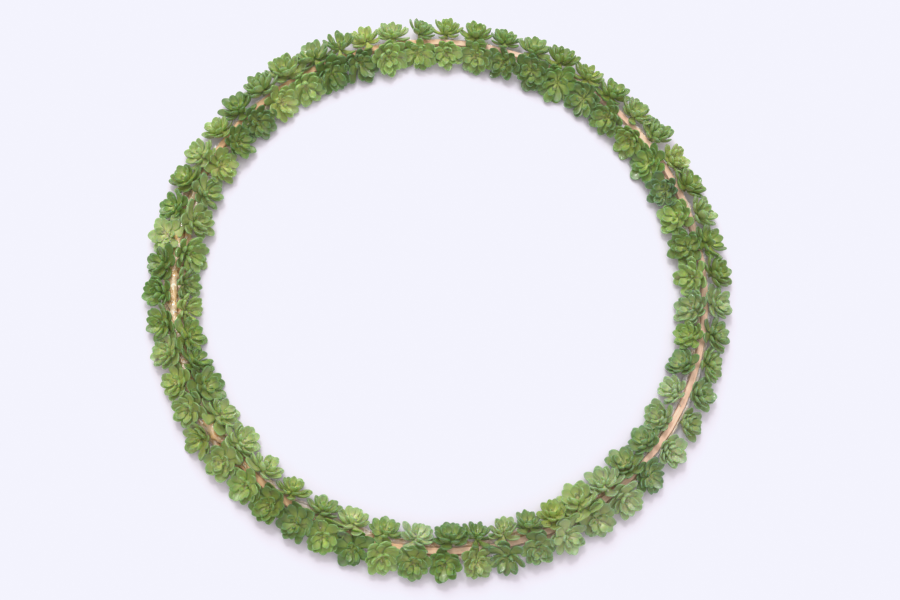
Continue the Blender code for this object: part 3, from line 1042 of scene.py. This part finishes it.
def build_glue_spill(material):
    """Golden glue that ran over the top edge of the hoop, in lumps that hang over both faces."""
    sections = []
    for i in range(SPILL_STEPS + 1):
        share = i / SPILL_STEPS
        angle = SPILL_ARC[0] + (SPILL_ARC[1] - SPILL_ARC[0]) * share
        out = radial(angle)
        lump = ramp(LUMP_REACH - abs(angle - LARGEST_LUMP), 0.0, LUMP_REACH)
        swell = 0.5 + 0.5 * noise.noise(out * SPILL_SWELLS + Vector((SPILL_SWELL_SHIFT, 0.0, 0.0)))
        swell = max(swell, LUMP_SWELL * lump)
        taper = min(1.0, math.sin(math.pi * share) ** 0.5 + SPILL_TAPER)
        half = (SPILL_HALF[0] + (SPILL_HALF[1] - SPILL_HALF[0]) * swell) * taper
        crown = (SPILL_CROWN[0] + (SPILL_CROWN[1] - SPILL_CROWN[0]) * swell) * taper + LUMP_CROWN * lump
        shift = SPILL_SHIFT * noise.noise(out * SPILL_SHIFTS) + LUMP_SHIFT * lump
        section = []
        for j in range(SPILL_AROUND):
            turn = math.tau * j / SPILL_AROUND
            rough = 1.0 + SPILL_ROUGH * noise.noise(out * SPILL_RIPPLES + upwards(turn))
            lift = math.sin(turn)
            height = crown * rough * lift if lift > 0 else SPILL_SINK * lift
            place = out * (HOOP_RADIUS + shift + half * rough * math.cos(turn))
            section.append(place + upwards(HOOP_HEIGHT + height))
        sections.append(section)
    mesh = loft_ring("glue_over_hoop", sections, closed=False, warmth=[1.0] * len(sections))
    add_piece("glue_over_hoop", mesh, material, "glue", "glue_top")


def build_glue_strings(material):
    """Thin strings of glue from the top of the hoop over to the heads, most of them where it ran over."""
    draw = random.Random(SEED * STRING_DRAW)
    bm = bmesh.new()
    for i in range(STRINGS):
        angle = draw.uniform(*SPILL_ARC) if i % 3 else draw.uniform(0.0, 360.0)
        side = draw.choice((-1, 1))
        start = radial(angle) * (HOOP_RADIUS + side * draw.uniform(*STRING_STARTS))
        start += upwards(HOOP_HEIGHT + draw.uniform(*STRING_LIFTS))
        along = draw.uniform(-STRING_TURN, STRING_TURN)
        end = radial(angle + along) * (HOOP_RADIUS + side * draw.uniform(*STRING_ENDS))
        end += upwards(draw.uniform(*STRING_END_HEIGHTS))
        radius = draw.uniform(*STRING_RADII)
        add_string(bm, start, end, draw.uniform(*STRING_SAGS), radius)
    mesh = bpy.data.meshes.new("glue_strings")
    bm.to_mesh(mesh)
    bm.free()
    smooth_faces(mesh)
    add_piece("glue_strings", mesh, material, "glue")


def add_string(bm, start, end, sag, radius):
    """One closed strand between two points, thicker at its ends."""
    ahead = (end - start).normalized()
    side = ahead.orthogonal().normalized()
    other = ahead.cross(side)
    rings = []
    for i in range(STRING_STEPS):
        share = i / (STRING_STEPS - 1)
        place = start.lerp(end, share) - upwards(sag * math.sin(math.pi * share))
        thick = radius * (1.0 + STRING_FLARE * (2.0 * share - 1.0) ** 4)
        ring = []
        for j in range(STRING_AROUND):
            turn = math.tau * j / STRING_AROUND
            ring.append(bm.verts.new(place + (side * math.cos(turn) + other * math.sin(turn)) * thick))
        rings.append(ring)
    skin_between(bm, zip(rings, rings[1:]))
    bm.faces.new(rings[0][::-1])
    bm.faces.new(rings[-1])


# Hoop


def finish_hoop(material):
    """The CAD strip with its corners eased and a wood finish."""
    hoop = bpy.data.objects["hoop"]
    weld = hoop.modifiers.new("join_faces", "WELD")
    weld.merge_threshold = HOOP_WELD
    ease = hoop.modifiers.new("ease_corners", "BEVEL")
    ease.width = HOOP_CORNER
    ease.segments = 2
    ease.limit_method = "ANGLE"
    ease.angle_limit = math.radians(SHARP_ANGLE)
    for slot in hoop.material_slots:
        slot.material = material


# Stage


def build_floor():
    half = FLOOR_SIZE / 2
    corners = [(-half, -half, 0.0), (half, -half, 0.0), (half, half, 0.0), (-half, half, 0.0)]
    mesh = bpy.data.meshes.new("floor")
    mesh.from_pydata(corners, [], [(0, 1, 2, 3)])
    floor = add_object("floor", mesh)
    mesh.materials.append(floor_material())


def build_camera():
    rise, turn, roll = (math.radians(angle) for angle in (CAMERA_RISE, CAMERA_TURN, CAMERA_ROLL))
    back = Vector((math.sin(turn) * math.cos(rise), -math.cos(turn) * math.cos(rise), math.sin(rise)))
    right = Vector((math.cos(turn), math.sin(turn), 0.0))
    up = back.cross(right)
    right, up = math.cos(roll) * right + math.sin(roll) * up, math.cos(roll) * up - math.sin(roll) * right
    data = bpy.data.cameras.new("camera")
    data.lens = CAMERA_LENS
    data.sensor_width = SENSOR_WIDTH
    camera = add_object("camera", data)
    place = Matrix((right, up, back)).transposed().to_4x4()
    place.translation = CAMERA_AIM + back * CAMERA_DISTANCE
    camera.matrix_world = place
    bpy.context.scene.camera = camera


def add_lamp(name, make):
    """Soft round light, aimed at the middle of the wreath."""
    data = bpy.data.lights.new(name, "AREA")
    data.shape = "DISK"
    data.size = make["size"]
    data.energy = make["power"]
    data.color = make["colour"]
    lamp = add_object(name, data)
    rise = math.radians(make["rise"])
    towards = radial(make["turn"]) * math.cos(rise) + upwards(math.sin(rise))
    lamp.location = towards * make["distance"]
    lamp.rotation_euler = towards.to_track_quat("Z", "Y").to_euler()


def build_light():
    """A pale sky all round, and the lamps."""
    world = bpy.data.worlds.new("sky")
    bpy.context.scene.world = world
    world.use_nodes = True
    sky = world.node_tree.nodes["Background"]
    sky.inputs["Color"].default_value = (*SKY_COLOUR, 1.0)
    sky.inputs["Strength"].default_value = SKY_STRENGTH
    for name, make in LAMPS.items():
        add_lamp(name, make)


def set_film():
    """Plain colours, with whites that level off as the floor's do in the photograph."""
    view = bpy.context.scene.view_settings
    view.view_transform = "Standard"
    view.use_curve_mapping = True
    film = view.curve_mapping
    film.extend = "HORIZONTAL"
    film.use_clip = False
    for curve, white, black in zip(film.curves, FILM_WHITE, FILM_BLACK):
        curve.points[0].location = (0.0, black)
        curve.points[1].location = (white * FILM_REACH, white)
        curve.points.new(white * FILM_KNEE, white * FILM_KNEE)
        for point in curve.points:
            point.handle_type = "VECTOR"
    film.update()


def build_looks():
    set_film()
    build_camera()
    build_light()
    build_floor()
    leaves = leaf_materials(leaf_finish_group())
    finish_hoop(wood_material())
    glue = glue_material()
    for row in ROWS:
        build_glue_bead(row, glue)
    build_glue_strings(glue)
    build_glue_spill(glue)
    for row in ROWS:
        build_row(row, leaves)


build_looks()
